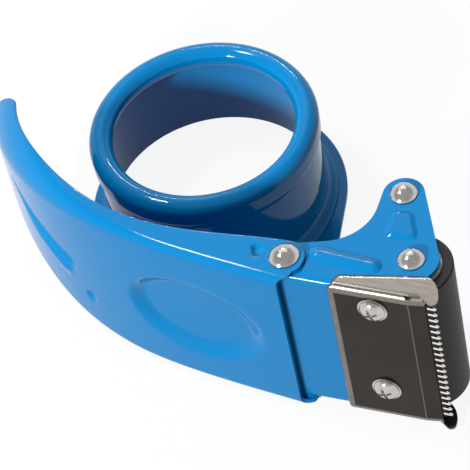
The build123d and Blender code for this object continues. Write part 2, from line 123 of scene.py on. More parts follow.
def add_mottle(
    tree: bpy.types.NodeTree, place: bpy.types.NodeSocket, size_mm: float, low: str, high: str
) -> tuple[bpy.types.NodeSocket, bpy.types.NodeSocket]:
    """Blends two colours by a noise.

    Args:
        tree: Node tree of the material.
        place: Output that gives the place on the surface.
        size_mm: Size of the noise's patches.
        low: Colour where the noise is low.
        high: Colour where it is high.

    Returns:
        The outputs that give the colour and the noise.
    """
    noise = add_node(tree, "ShaderNodeTexNoise", in_Vector=place, in_Scale=1 / (size_mm * MM))
    share = noise.outputs["Fac"]
    ends = {"in_6": linear(low), "in_7": linear(high)}
    blend = add_node(tree, "ShaderNodeMix", data_type="RGBA", in_0=share, **ends)
    return blend.outputs[2], share


def add_relief(
    tree: bpy.types.NodeTree,
    place: bpy.types.NodeSocket,
    size_mm: float,
    depth_mm: float,
    stretch: tuple = (1.0, 1.0, 1.0),
    detail: float = 2.0,
) -> tuple[bpy.types.NodeSocket, bpy.types.NodeSocket]:
    """Raises a fine noise from the surface.

    Args:
        tree: Node tree of the material.
        place: Output that gives the place on the surface.
        size_mm: Width of the grain.
        depth_mm: Height from its lows to its highs.
        stretch: Factor on the place along each axis, small where the grain is drawn out.
        detail: Number of finer layers in the noise.

    Returns:
        The outputs that give the normal and the noise.
    """
    drawn = add_node(tree, "ShaderNodeMapping", in_Vector=place, in_Scale=stretch).outputs[0]
    noise = add_node(
        tree, "ShaderNodeTexNoise", in_Vector=drawn, in_Scale=1 / (size_mm * MM), in_Detail=detail
    )
    height = noise.outputs["Fac"]
    bump = add_node(tree, "ShaderNodeBump", in_Height=height, in_Distance=depth_mm * MM)
    return bump.outputs["Normal"], height


@dataclass(frozen=True)
class BakedEnamel:
    """Blue stoving enamel sprayed on pressed steel.

    It gives the eye a deep even colour under a wet-looking gloss, with a faint orange peel. The
    specular level is low, because the photograph's surroundings are dimmer than a white stage.
    """

    name: str = "baked_blue_enamel"
    color: str = "#0082C2"
    thick_color: str = "#007BBB"
    roughness: float = 0.06
    dusty_roughness: float = 0.1
    specular_level: float = 0.17
    shade_mm: float = 28.0
    dust_mm: float = 9.0
    orange_peel_mm: float = 2.2
    peel_depth_mm: float = 0.004
    peel_detail: float = 1.0

    def build(self) -> bpy.types.Material:
        """Builds the enamel.

        Returns:
            The material.
        """
        material, tree = new_material(self.name)
        place = add_node(tree, "ShaderNodeTexCoord").outputs["Object"]
        tint, _ = add_mottle(tree, place, self.shade_mm, self.thick_color, self.color)
        dust = add_node(tree, "ShaderNodeTexNoise", in_Vector=place, in_Scale=1 / (self.dust_mm * MM))
        gloss = add_node(
            tree,
            "ShaderNodeMapRange",
            in_Value=dust.outputs["Fac"],
            in_From_Min=NOISE_LOW,
            in_From_Max=NOISE_HIGH,
            in_To_Min=self.roughness,
            in_To_Max=self.dusty_roughness,
        )
        normal, _ = add_relief(tree, place, self.orange_peel_mm, self.peel_depth_mm, detail=self.peel_detail)
        shader = add_node(
            tree,
            "ShaderNodeBsdfPrincipled",
            in_Base_Color=tint,
            in_Roughness=gloss.outputs[0],
            in_Specular_IOR_Level=self.specular_level,
            in_Normal=normal,
        )
        add_node(tree, "ShaderNodeOutputMaterial", in_Surface=shader.outputs["BSDF"])
        return material


@dataclass(frozen=True)
class MetalFinish:
    """A metal whose look comes from its tint, its polish and the direction of its grain.

    The real grain is finer than the render shows, so it is drawn as coarse as it needs to show.
    """

    name: str
    color: str
    worn_color: str
    roughness: float
    spread: float
    blotch_mm: float
    grain_mm: float
    grain_depth_mm: float
    stretch: tuple = (1.0, 1.0, 1.0)

    def build(self) -> bpy.types.Material:
        """Builds the metal.

        Returns:
            The material.
        """
        material, tree = new_material(self.name)
        place = add_node(tree, "ShaderNodeTexCoord").outputs["Object"]
        tint, blotch = add_mottle(tree, place, self.blotch_mm, self.worn_color, self.color)
        polish = add_node(
            tree,
            "ShaderNodeMapRange",
            in_Value=blotch,
            in_From_Min=NOISE_LOW,
            in_From_Max=NOISE_HIGH,
            in_To_Min=self.roughness,
            in_To_Max=self.roughness + self.spread,
        )
        normal, _ = add_relief(tree, place, self.grain_mm, self.grain_depth_mm, self.stretch)
        shader = add_node(
            tree,
            "ShaderNodeBsdfPrincipled",
            in_Base_Color=tint,
            in_Metallic=1.0,
            in_Roughness=polish.outputs[0],
            in_Normal=normal,
        )
        add_node(tree, "ShaderNodeOutputMaterial", in_Surface=shader.outputs["BSDF"])
        return material


@dataclass(frozen=True)
class RolledStainless:
    """Bright rolled stainless sheet.

    The dark reflection on its wide web is painted into the web's colour. It stops short of the bends and
    brushed cheeks, which keep the sheet's bright colour, and of the hem and a narrow band on the crease,
    which stay bright as painted highlights. The brush lines are drawn as coarse as they need to show.
    """

    name: str = "rolled_stainless_sheet"
    # The web's two colours are a painted dark reflection, mottled.
    web_painted_reflection: str = "#2E2B28"
    web_painted_reflection_pale: str = "#3E3A37"
    cheek_color: str = "#908A84"
    cheek_dark: str = "#6C6762"
    web_roughness: float = 0.12
    cheek_roughness: float = 0.26
    painted_reflection_mottle_mm: float = 14.0
    grain_mm: float = 0.5
    grain_stretch: tuple = (0.07, 1.0, 1.0)
    grain_depth_mm: float = 0.004
    middle_mm: float = 31.5
    flat_half_mm: float = 27.0
    # The hem and a narrow band on the crease stay bright as painted highlights.
    hem_end_mm: float = 70.8
    crease_mm: float = 93.9
    crease_half_mm: float = 0.22
    soft_mm: float = 0.35

    def build(self) -> bpy.types.Material:
        """Builds the sheet: its bright colour past the flat web, painted highlights on the hem and on the
        crease, and a painted dark reflection elsewhere.

        Returns:
            The material.
        """
        material, tree = new_material(self.name)
        place = add_node(tree, "ShaderNodeTexCoord").outputs["Object"]
        axes = add_node(tree, "ShaderNodeSeparateXYZ", in_0=place)
        # The mask is 1 on the bends and cheeks and, as painted highlights, on the hem and the crease.
        cheek_and_painted_highlight_mask = add_node(
            tree,
            "ShaderNodeMapRange",
            in_Value=axes.outputs["X"],
            in_From_Min=(self.hem_end_mm + self.soft_mm) * MM,
            in_From_Max=self.hem_end_mm * MM,
        )
        for axis, center, low, high in (
            ("Z", self.middle_mm, self.flat_half_mm, self.flat_half_mm + self.soft_mm),
            ("X", self.crease_mm, self.crease_half_mm, 0.0),
        ):
            shift = add_node(
                tree, "ShaderNodeMath", operation="SUBTRACT", in_0=axes.outputs[axis], in_1=center * MM
            )
            reach = add_node(tree, "ShaderNodeMath", operation="ABSOLUTE", in_0=shift.outputs[0])
            span = add_node(
                tree,
                "ShaderNodeMapRange",
                in_Value=reach.outputs[0],
                in_From_Min=low * MM,
                in_From_Max=high * MM,
            )
            cheek_and_painted_highlight_mask = add_node(
                tree, "ShaderNodeMath", operation="MAXIMUM", in_0=cheek_and_painted_highlight_mask.outputs[0], in_1=span.outputs[0]
            )
        # web is the painted dark reflection, mottled.
        web, _ = add_mottle(tree, place, self.painted_reflection_mottle_mm, self.web_painted_reflection, self.web_painted_reflection_pale)
        normal, grain = add_relief(tree, place, self.grain_mm, self.grain_depth_mm, self.grain_stretch)
        cheek = add_node(
            tree,
            "ShaderNodeMix",
            data_type="RGBA",
            in_0=grain,
            in_6=linear(self.cheek_dark),
            in_7=linear(self.cheek_color),
        )
        # A painted dark reflection on the web, painted highlights on the hem and crease, the bright colour
        # on bends and cheeks.
        both = add_node(
            tree, "ShaderNodeMix", data_type="RGBA", in_0=cheek_and_painted_highlight_mask.outputs[0], in_6=web, in_7=cheek.outputs[2]
        )
        polish = add_node(
            tree,
            "ShaderNodeMapRange",
            in_Value=cheek_and_painted_highlight_mask.outputs[0],
            in_To_Min=self.web_roughness,
            in_To_Max=self.cheek_roughness,
        )
        shader = add_node(
            tree,
            "ShaderNodeBsdfPrincipled",
            in_Base_Color=both.outputs[2],
            in_Metallic=1.0,
            in_Roughness=polish.outputs[0],
            in_Normal=normal,
        )
        add_node(tree, "ShaderNodeOutputMaterial", in_Surface=shader.outputs["BSDF"])
        return material


@dataclass(frozen=True)
class GroundBlade:
    """Hardened strip steel, dark, with a painted white glint on the bevels ground on one flank of each
    tooth.

    first_mm is the height at which the first tooth starts. slant is the share of a tooth by which a
    bevel leans over each mm across the blade, and the bevel's center and share are of a tooth too.
    """

    name: str = "ground_blade_steel"
    body_color: str = "#34302D"
    # A painted white glint on the bevels.
    bevel_painted_glint: str = "#F2EEE9"
    body_roughness: float = 0.3
    bevel_roughness: float = 0.16
    first_mm: float = 5.0
    pitch_mm: float = 2.65
    root_mm: float = 99.2
    slant: float = 0.113
    bevel_center: float = 0.57
    bevel_share: float = 0.3

    def build(self) -> bpy.types.Material:
        """Builds the steel.

        The count of teeth along the blade leans with the place across it. A place is on a bevel
        where the fraction of that count is near the bevel's middle, and there it gets the painted white
        glint.

        Returns:
            The material.
        """
        material, tree = new_material(self.name)
        place = add_node(tree, "ShaderNodeTexCoord").outputs["Object"]
        axes = add_node(tree, "ShaderNodeSeparateXYZ", in_0=place)
        before = self.first_mm / self.pitch_mm + self.slant * self.root_mm + self.bevel_center
        lean = add_node(
            tree,
            "ShaderNodeMath",
            operation="MULTIPLY_ADD",
            in_0=axes.outputs["X"],
            in_1=self.slant / MM,
            in_2=self.bevel_share / 2 - before,
        )
        count = add_node(
            tree,
            "ShaderNodeMath",
            operation="MULTIPLY_ADD",
            in_0=axes.outputs["Z"],
            in_1=1 / (self.pitch_mm * MM),
            in_2=lean.outputs[0],
        )
        part = add_node(tree, "ShaderNodeMath", operation="FRACT", in_0=count.outputs[0])
        flank = add_node(
            tree, "ShaderNodeMath", operation="LESS_THAN", in_0=part.outputs[0], in_1=self.bevel_share
        )
        past = add_node(
            tree, "ShaderNodeMath", operation="GREATER_THAN", in_0=axes.outputs["X"], in_1=self.root_mm * MM
        )
        bevel = add_node(
            tree, "ShaderNodeMath", operation="MULTIPLY", in_0=flank.outputs[0], in_1=past.outputs[0]
        )
        # The bevels get the painted white glint.
        tint = add_node(
            tree,
            "ShaderNodeMix",
            data_type="RGBA",
            in_0=bevel.outputs[0],
            in_6=linear(self.body_color),
            in_7=linear(self.bevel_painted_glint),
        )
        polish = add_node(
            tree,
            "ShaderNodeMapRange",
            in_Value=bevel.outputs[0],
            in_To_Min=self.body_roughness,
            in_To_Max=self.bevel_roughness,
        )
        shader = add_node(
            tree,
            "ShaderNodeBsdfPrincipled",
            in_Base_Color=tint.outputs[2],
            in_Metallic=1.0,
            in_Roughness=polish.outputs[0],
        )
        add_node(tree, "ShaderNodeOutputMaterial", in_Surface=shader.outputs["BSDF"])
        return material


@dataclass(frozen=True)
class GroundRubber:
    """Black rubber, ground true on a lathe.

    It gives the eye a soft grey sheen with fine rings round the roller, drawn as coarse as they
    need to show.
    """

    name: str = "ground_black_rubber"
    color: str = "#121213"
    dusty_color: str = "#1C1C1D"
    roughness: float = 0.5
    specular_level: float = 0.25
    dust_mm: float = 5.0
    ring_mm: float = 0.6
    ring_stretch: tuple = (0.05, 0.05, 1.0)
    ring_depth_mm: float = 0.012

    def build(self) -> bpy.types.Material:
        """Builds the rubber.

        Returns:
            The material.
        """
        material, tree = new_material(self.name)
        place = add_node(tree, "ShaderNodeTexCoord").outputs["Object"]
        tint, _ = add_mottle(tree, place, self.dust_mm, self.color, self.dusty_color)
        normal, _ = add_relief(tree, place, self.ring_mm, self.ring_depth_mm, self.ring_stretch)
        shader = add_node(
            tree,
            "ShaderNodeBsdfPrincipled",
            in_Base_Color=tint,
            in_Roughness=self.roughness,
            in_Specular_IOR_Level=self.specular_level,
            in_Normal=normal,
        )
        add_node(tree, "ShaderNodeOutputMaterial", in_Surface=shader.outputs["BSDF"])
        return material


@dataclass(frozen=True)
class MouldedNylon:
    """Natural nylon, injection moulded: a milky off-white with a soft gloss."""

    name: str = "moulded_natural_nylon"
    color: str = "#D8D4C8"
    roughness: float = 0.4
    subsurface: float = 0.1
    subsurface_radius: tuple = (0.002, 0.002, 0.0015)

    def build(self) -> bpy.types.Material:
        """Builds the nylon.

        Returns:
            The material.
        """
        material, tree = new_material(self.name)
        shader = add_node(
            tree,
            "ShaderNodeBsdfPrincipled",
            in_Base_Color=linear(self.color),
            in_Roughness=self.roughness,
            in_Subsurface_Weight=self.subsurface,
            in_Subsurface_Radius=self.subsurface_radius,
        )
        add_node(tree, "ShaderNodeOutputMaterial", in_Surface=shader.outputs["BSDF"])
        return material


# The grain of rolled strip and turned tube is ten times as long as wide, across the hub's axis.
DRAWN = (0.1, 0.1, 1.0)
# Nickel over polished steel gives the eye a clear mirror on the domes.
PLATED = MetalFinish(
    "bright_nickel_plate",
    color="#D6D3CF",
    worn_color="#B0ACA7",
    roughness=0.07,
    spread=0.08,
    blotch_mm=2.0,
    grain_mm=0.25,
    grain_depth_mm=0.002,
)
# Zinc on strip gives a dull grey with a soft grain.
STRIP_STEEL = MetalFinish(
    "zinc_plated_strip",
    color="#A9AAAC",
    worn_color="#8E9094",
    roughness=0.3,
    spread=0.12,
    blotch_mm=7.0,
    grain_mm=0.3,
    grain_depth_mm=0.003,
    stretch=DRAWN,
)
# Hard-drawn wire is dark grey and satin.
SPRING_STEEL = MetalFinish(
    "drawn_spring_wire",
    color="#8C8D90",
    worn_color="#707276",
    roughness=0.25,
    spread=0.1,
    blotch_mm=2.0,
    grain_mm=0.15,
    grain_depth_mm=0.002,
)
# A turned tube is satin with rings.
GUIDE_STEEL = MetalFinish(
    "turned_steel_tube",
    color="#B4B3B2",
    worn_color="#98979A",
    roughness=0.22,
    spread=0.1,
    blotch_mm=5.0,
    grain_mm=0.3,
    grain_depth_mm=0.003,
    stretch=DRAWN,
)


def dress(node: str, material: bpy.types.Material) -> None:
    """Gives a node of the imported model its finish.

    Args:
        node: Name of the node.
        material: Material for all its slots.
    """
    piece = NODES[node]
    if not piece.material_slots:
        piece.data.materials.append(material)
    for place in piece.material_slots:
        place.link = "OBJECT"
        place.material = material
    LOG.info("dressed %s in %s", node, material.name)


def smooth_line(
    points: tuple, samples: int, start: tuple | None = None, end: tuple | None = None
) -> np.ndarray:
    """Draws the cubic spline through plan points.

    The parameter is the chord length. Between two points the curve is the cubic that has their
    places and slopes, and the inner slopes make its bend continuous. The slope at an end is that
    of the cubic through the four points there, turned to the given direction where there is one.

    Args:
        points: Plan points in mm.
        samples: Number of points on the result.
        start: Direction at the first point.
        end: Direction at the last point.

    Returns:
        Points of the curve, one per row.
    """
    fixed = np.asarray(points, float)
    place = np.concatenate(([0.0], np.cumsum(np.linalg.norm(np.diff(fixed, axis=0), axis=1))))
    ends = []
    for nodes, values, direction in ((place[:4], fixed[:4], start), (place[-1:-5:-1], fixed[-1:-5:-1], end)):
        cubic = np.polyfit(nodes - nodes[0], values, 3)
        slope = cubic[2]
        if direction is not None:
            slope = np.linalg.norm(slope) * np.asarray(direction) / np.linalg.norm(direction)
        ends.append(slope)
    step = np.diff(place)
    rise = np.diff(fixed, axis=0) / step[:, None]
    system = np.eye(len(fixed))
    inner = np.arange(1, len(fixed) - 1)
    system[inner, inner - 1] = step[1:]
    system[inner, inner] = 2 * (step[:-1] + step[1:])
    system[inner, inner + 1] = step[:-1]
    sums = 3 * (step[1:, None] * rise[:-1] + step[:-1, None] * rise[1:])
    slopes = np.linalg.solve(system, np.vstack((ends[0], sums, ends[1])))
    at = np.linspace(0, place[-1], samples)
    piece = np.clip(np.searchsorted(place, at, side="right") - 1, 0, len(step) - 1)
    length = step[piece][:, None]
    u = ((at - place[piece]) / step[piece])[:, None]
    return (
        (2 * u**3 - 3 * u**2 + 1) * fixed[piece]
        + (u**3 - 2 * u**2 + u) * length * slopes[piece]
        + (3 * u**2 - 2 * u**3) * fixed[piece + 1]
        + (u**3 - u**2) * length * slopes[piece + 1]
    )


def ease(value: np.ndarray) -> np.ndarray:
    """Rises from 0 to 1 as the value does, by 3 v squared less 2 v cubed, and stays level outside."""
    held = np.clip(value, 0.0, 1.0)
    return held * held * (3 - 2 * held)


def bridge(first: np.ndarray, second: np.ndarray) -> np.ndarray:
    """Joins closed loops of vertices, point by point, with quads.

    Args:
        first: Vertex numbers of one loop, or of one loop per row.
        second: Vertex numbers of the loops that they join.

    Returns:
        One quad per row.
    """
    following = np.roll(first, -1, axis=-1), np.roll(second, -1, axis=-1)
    return np.stack((first, *following, second), axis=-1).reshape(-1, 4)


def add_piece(
    name: str, points_mm: np.ndarray, faces: list, material: bpy.types.Material
) -> bpy.types.Object:
    """Makes a smooth-shaded piece from points and faces.

    Args:
        name: Name of the piece.
        points_mm: Points in mm, one per row.
        faces: Vertex numbers of each face.
        material: Its finish.

    Returns:
        The object, with its faces turned outwards.
    """
    mesh = bpy.data.meshes.new(name)
    mesh.from_pydata((points_mm * MM).tolist(), [], faces)
    shell = bmesh.new()
    shell.from_mesh(mesh)
    bmesh.ops.remove_doubles(shell, verts=shell.verts, dist=WELD)
    bmesh.ops.recalc_face_normals(shell, faces=shell.faces)
    shell.to_mesh(mesh)
    shell.free()
    mesh.shade_smooth()
    mesh.set_sharp_from_angle(angle=SHARP_ANGLE)
    mesh.materials.append(material)
    piece = bpy.data.objects.new(name, mesh)
    bpy.context.scene.collection.objects.link(piece)
    LOG.info("made %s with %d faces", name, len(mesh.polygons))
    return piece


@dataclass
class HandleShell:
    """The drawn channel of the handle, with its dish, its grip flute and its dimples.

    Sizes are in mm, and a place on the web is a plan x and a height. Rims, rises and falls are
    shares of their form, and so are tail_start, nose_close, flute_shallow and swell_end. stop_lean
    is a slope. The section runs down one flange, over the web and up the other, and its columns
    follow one another along the web.
    """

    middle: float = 31.5
    half_width: float = 30.5
    sheet: float = 1.2
    web_points: tuple = (
        (66.0, -76.3),
        (52.6, -74.7),
        (25.0, -71.4),
        (-4.0, -65.6),
        (-29.5, -54.6),
        (-51.0, -37.2),
        (-69.5, -11.5),
    )
    flange_points: tuple = ((19.0, -61.3), (-8.8, -57.2), (-35.2, -41.6), (-56.5, -15.5))
    flange_start: tuple = (-1.0, 0.0)
    flange_end: tuple = (-0.45, 1.0)
    tail_arc: tuple = ((-56.5, -15.5), (-60.6, -12.4), (-69.5, -14.0))
    pivot: tuple = (53.6, -65.6)
    pivot_hole: float = 3.05
    nose_radius: float = 6.5
    web_end: tuple = (53.7, -74.8)
    bend_front: float = 3.0
    tail_start: float = 0.4
    tail_drop: float = 10.5
    tail_bend: float = 10.0
    nose_sweep: tuple = (-8.0, 90.0)
    nose_square: float = 45.0
    nose_close: float = 0.05
    edge_reach: float = 0.35
    edge_rows: int = 3
    flange_rows: int = 34
    web_rows: int = 96
    columns: int = 210
    tip_length: float = 7.0
    tip_columns: int = 44
    nose_columns: int = 22
    web_samples: int = 3000
    probe_samples: int = 1500
    spline_samples: int = 1200
    arc_samples: tuple = (200, 300)
    dish_center: tuple = (21.8, 30.7)
    dish_half: tuple = (24.6, 17.6)
    dish_depth: float = 2.6
    dish_bowl: float = 0.4
    dish_rims: tuple = (0.34, 0.22)
    flute_from: tuple = (-52.0, 41.0)
    flute_to: tuple = (-27.5, 29.5)
    flute_widths: tuple = (0.9, 4.6)
    flute_depth: float = 1.3
    flute_shallow: float = 0.3
    swell: float = 1.0
    swell_off: float = 4.4
    swell_width: float = 4.6
    swell_rise: float = 0.7
    swell_end: float = 1.12
    swell_fall: float = 0.14
    dimple: tuple = (-20.0, 18.2)
    dimple_half: tuple = (2.4, 3.6)
    dimple_depth: float = 0.9
    dimple_rim: float = 0.8
    stop: tuple = (44.4, -64.9)
    stop_radius: float = 2.7
    stop_depth: float = 1.1
    stop_rim: float = 0.5
    stop_cut: float = 1.3
    stop_lean: float = 0.5
    stop_edge: float = 0.7
    bore_sides: int = 48
    bore_ends: tuple = (-20.0, 90.0)
    line: np.ndarray = field(init=False, repr=False)
    run: np.ndarray = field(init=False, repr=False)
    heading: np.ndarray = field(init=False, repr=False)

    def __post_init__(self) -> None:
        """Draws the web's line and measures its lengths and headings from the head's end."""
        self.line = smooth_line(self.web_points, self.web_samples)
        steps = np.linalg.norm(np.diff(self.line, axis=0), axis=1)
        self.run = np.concatenate(([0.0], np.cumsum(steps)))
        heading = np.gradient(self.line, self.run, axis=0)
        self.heading = heading / np.linalg.norm(heading, axis=1)[:, None]

    def build(self, material: bpy.types.Material) -> bpy.types.Object:
        """Builds the handle and bores it for the rivet.

        Args:
            material: The enamel.

        Returns:
            The handle.
        """
        points, faces = self.shell()
        handle = add_piece("handle_shell", points, faces, material)
        self.bore(handle)
        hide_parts("handle")
        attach(handle, Body.GRIP.value)
        return handle

    def run_at(self, x: float) -> float:
        """Length along the web up to a plan x."""
        return float(np.interp(-x, -self.line[:, 0], self.run))

    def flange_depths(self, foot: np.ndarray, heading: np.ndarray, inward: np.ndarray) -> np.ndarray:
        """Finds how deep the flange reaches behind each place of the web.

        A ray leaves the web at right angles, and the depth is where it first crosses the flange's
        edge: the nose's arc, the long spline and the tail's arc, in that order.

        Args:
            foot: Plan points on the web.
            heading: Direction of the web at each.
            inward: Direction of the ray at each.

        Returns:
            Depth of the edge from the web.
        """
        turn = np.radians(np.linspace(*self.nose_sweep, self.arc_samples[0]))
        nose = np.array(self.pivot) + self.nose_radius * np.stack((np.cos(turn), np.sin(turn)), axis=1)
        fixed = (tuple(nose[-1]), *self.flange_points)
        spline = smooth_line(fixed, self.spline_samples, self.flange_start, self.flange_end)
        edge = np.vstack((nose, spline[1:], self.tail_tip()[1:]))
        apart = edge[None] - foot[:, None]
        across = (apart * heading[:, None]).sum(-1)
        depth = (apart * inward[:, None]).sum(-1)
        crossed = across[:, :-1] * across[:, 1:] <= 0
        share = across[:, :-1] / (across[:, :-1] - across[:, 1:] + TINY)
        met = depth[:, :-1] + share * (depth[:, 1:] - depth[:, :-1])
        return np.where(crossed & (met > 0), met, np.inf).min(axis=1)

    def tail_tip(self) -> np.ndarray:
        """Draws the circle's arc through the three points of the tail's end.

        Returns:
            Plan points, one per row.
        """
        first, second, third = (np.array(p) for p in self.tail_arc)
        sides = np.array([second - first, third - first])
        center = first + np.linalg.solve(2 * sides, (sides**2).sum(axis=1))
        radius = np.linalg.norm(first - center)
        sweep = np.unwrap([math.atan2(*(p - center)[::-1]) for p in (first, second, third)])
        turn = np.linspace(sweep[0], sweep[2], self.arc_samples[1])
        return center + radius * np.stack((np.cos(turn), np.sin(turn)), axis=1)

    def profile(
        self, high: np.ndarray, low: np.ndarray, bend: np.ndarray, half: np.ndarray
    ) -> tuple[np.ndarray, np.ndarray, np.ndarray, np.ndarray]:
        """Carries rows from a flange's edge down to the web.

        A row's place is its length along the section: positive on the flat flange and negative in
        the bend, where depth = bend (1 - sin a), height = half - bend (1 - cos a) and a is the
        length over the bend's radius.

        Args:
            high: Depth of the flange's edge at each column.
            low: Depth where the section ends.
            bend: Radius of the bend.
            half: Height of the flange from the middle.

        Returns:
            Depth and height of each row of each column, and the same two of its outward normal.
        """
        first, last = (
            np.where(deep >= bend, deep - bend, -bend * np.arcsin(np.clip(1 - deep / bend, 0, 1)))
            for deep in (high, low)
        )
        rows = np.linspace(0, 1, self.flange_rows)[None]
        place = first[:, None] + rows * (last - first)[:, None]
        angle = np.clip(-place / bend[:, None], 0, math.pi / 2)
        depth = bend[:, None] * (1 - np.sin(angle)) + np.maximum(place, 0)
        height = half[:, None] - bend[:, None] * (1 - np.cos(angle))
        return depth, height, -np.sin(angle), np.cos(angle)

    def press(self, run: np.ndarray, z: np.ndarray, plan: np.ndarray, is_upper: np.ndarray) -> np.ndarray:
        """Works out how deep the surface is pressed in.

        The dish is level inside and eases out over its rim, which is wider towards the head, with
        a slight bowl. The flute is a rounded groove along a line, wider towards one end, with a
        swelling beside it that ends short of the groove's wide end. The dimples are eased
        ovals, and the stop's is cut straight at the back.

        Args:
            run: Length along the web at each point.
            z: Height of each point.
            plan: Plan place of each point.
            is_upper: Whether each point is on the channel's upper half, which has the stop.

        Returns:
            Depth below the drawn surface.
        """
        center = self.run_at(self.dish_center[0])
        ring = np.hypot((run - center) / self.dish_half[0], (z - self.dish_center[1]) / self.dish_half[1])
        rim = np.interp((run - center) / self.dish_half[0], (-1, 1), self.dish_rims)
        pressed = self.dish_depth * ease((1 - ring) / rim)
        pressed += self.dish_bowl * np.clip(1 - ring**2, 0, 1) ** 2
        start = np.array((self.run_at(self.flute_from[0]), self.flute_from[1]))
        line = np.array((self.run_at(self.flute_to[0]), self.flute_to[1])) - start
        share = ((run - start[0]) * line[0] + (z - start[1]) * line[1]) / (line @ line)
        on_line = np.clip(share, 0, 1)
        off = np.hypot(run - start[0] - on_line * line[0], z - start[1] - on_line * line[1])
        width = self.flute_widths[0] + on_line * (self.flute_widths[1] - self.flute_widths[0])
        deepening = self.flute_shallow + (1 - self.flute_shallow) * on_line
        pressed += self.flute_depth * ease(1 - off / width) * deepening
        beside = ((run - start[0]) * line[1] - (z - start[1]) * line[0]) / np.linalg.norm(line)
        ridge = ease(1 - np.abs(beside + self.swell_off) / self.swell_width)
        ends = ease(share / self.swell_rise) * ease((self.swell_end - share) / self.swell_fall)
        pressed -= self.swell * ridge * ends
        along = (run - self.run_at(self.dimple[0])) / self.dimple_half[0]
        up = (z - self.dimple[1]) / self.dimple_half[1]
        pressed += self.dimple_depth * ease((1 - np.hypot(along, up)) / self.dimple_rim)
        x, y = plan[..., 0] - self.stop[0], plan[..., 1] - self.stop[1]
        cut = x + self.stop_lean * y + self.stop_cut
        bowl = ease((1 - np.hypot(x, y) / self.stop_radius) / self.stop_rim)
        return pressed + is_upper * self.stop_depth * bowl * ease(cut / self.stop_edge)

    def section(
        self,
        foot: np.ndarray,
        inward: np.ndarray,
        run: np.ndarray,
        bend: np.ndarray,
        half: np.ndarray,
        high: np.ndarray,
        low: np.ndarray,
        with_web: bool,
        side: int,
    ) -> np.ndarray:
        """Places the outer and inner rows of a stretch of columns.

        Args:
            foot: Plan points on the web's line.
            inward: Direction into the channel at each.
            run: Length along the web at each.
            bend: Bend radius at each.
            half: Half of the channel's width at each.
            high: Depth of the flange's edge at each.
            low: Depth where the section ends at each.
            with_web: Whether the rows go on over the web to the other flange.
            side: 1 for the upper flange first, -1 for the lower.

        Returns:
            One closed loop of points per column: outer rows, far edge, inner rows, near edge.
        """
        depth, height, out_depth, out_height = self.profile(high - self.edge_reach, low, bend, half)
        if with_web:
            flat = (half - bend)[:, None]
            web = flat * np.linspace(1, -1, self.web_rows + 2)[None, 1:-1]
            depth = np.hstack((depth, 0 * web, depth[:, ::-1]))
            out_depth = np.hstack((out_depth, 0 * web - 1, out_depth[:, ::-1]))
            height = np.hstack((height, web, -height[:, ::-1]))
            out_height = np.hstack((out_height, 0 * web, -out_height[:, ::-1]))
        height, out_height = side * height, side * out_height

        def lay(at_depth: np.ndarray, at_height: np.ndarray) -> np.ndarray:
            """Turns depth and height into points."""
            plan = foot[:, None] + at_depth[..., None] * inward[:, None]
            return np.concatenate((plan, self.middle + at_height[..., None]), axis=-1)

        plain = lay(depth, height)
        sunk = self.press(run[:, None], plain[..., 2], plain[..., :2], height > 0)
        outer, inner = (
            lay(depth - out_depth * (sunk + under), height - out_height * (sunk + under))
            for under in (0, self.sheet)
        )
        turn = np.linspace(0, math.pi, self.edge_rows + 2)[1:-1]
        bulge = self.edge_reach * np.sin(turn)[None]
        edges = []
        for row, flip in ((0, -1), (-1, 1))[: 1 + with_web]:
            at_depth, at_height, toward_depth, toward_height = (
                v[:, row, None] for v in (depth, height, out_depth, out_height)
            )
            thick = self.sheet / 2 * (1 - flip * np.cos(turn))[None]
            rim = bulge * np.sign(at_height)
            rim_depth = at_depth - toward_depth * thick + rim * toward_height
            rim_height = at_height - toward_height * thick - rim * toward_depth
            edges.append(lay(rim_depth, rim_height))
        return np.concatenate((outer, *edges[1:], inner[:, ::-1], edges[0]), axis=1)

    def columns_along(self) -> np.ndarray:
        """Places the columns along the web.

        They stand at even lengths, and over the tip the length that is left falls with the square
        of what is left of their count. The last column is where the flange ends.

        Returns:
            Length along the web at each.
        """
        start = self.run_at(self.web_end[0])
        probe = np.linspace(start, self.run[-1], self.probe_samples)
        reach = self.flange_depths(*self.frame_at(probe))
        is_past = ~((reach > 2 * self.edge_reach) & np.isfinite(reach)) & (probe > probe.mean())
        stop = probe[np.argmax(is_past) - 1]
        tip = stop - self.tip_length * (1 - np.linspace(0, 1, self.tip_columns + 1)[1:]) ** 2
        return np.concatenate((np.linspace(start, stop - self.tip_length, self.columns), tip))

    def shell(self) -> tuple[np.ndarray, list]:
        """Works out the points and faces of the whole handle: its channel, both noses and their ends.

        Returns:
            Points, and the vertex numbers of each face.
        """
        run = self.columns_along()
        foot, heading, inward = self.frame_at(run)
        high = self.flange_depths(foot, heading, inward)
        bend, half = self.sizes_at(run)
        main = self.section(foot, inward, run, bend, half, high, 0 * high, True, 1)
        count = main.shape[1]
        loops = np.arange(main.shape[0] * count).reshape(-1, count)
        faces = [bridge(loops[:-1], loops[1:])]
        rows = 2 * self.flange_rows + self.web_rows
        outer = np.arange(rows)
        inner = rows + self.edge_rows + np.arange(rows)[::-1]
        last = loops[-1]
        faces.append(np.stack((outer[:-1], outer[1:], inner[1:], inner[:-1]), axis=1) + last[0])
        # A flange's rounded edge has more points than a quad, so its end is closed by one cap.
        caps = [
            [*last[count - self.edge_rows :], last[0], last[inner[0]]],
            [last[outer[-1]], *last[rows : rows + self.edge_rows], last[inner[-1]]],
        ]
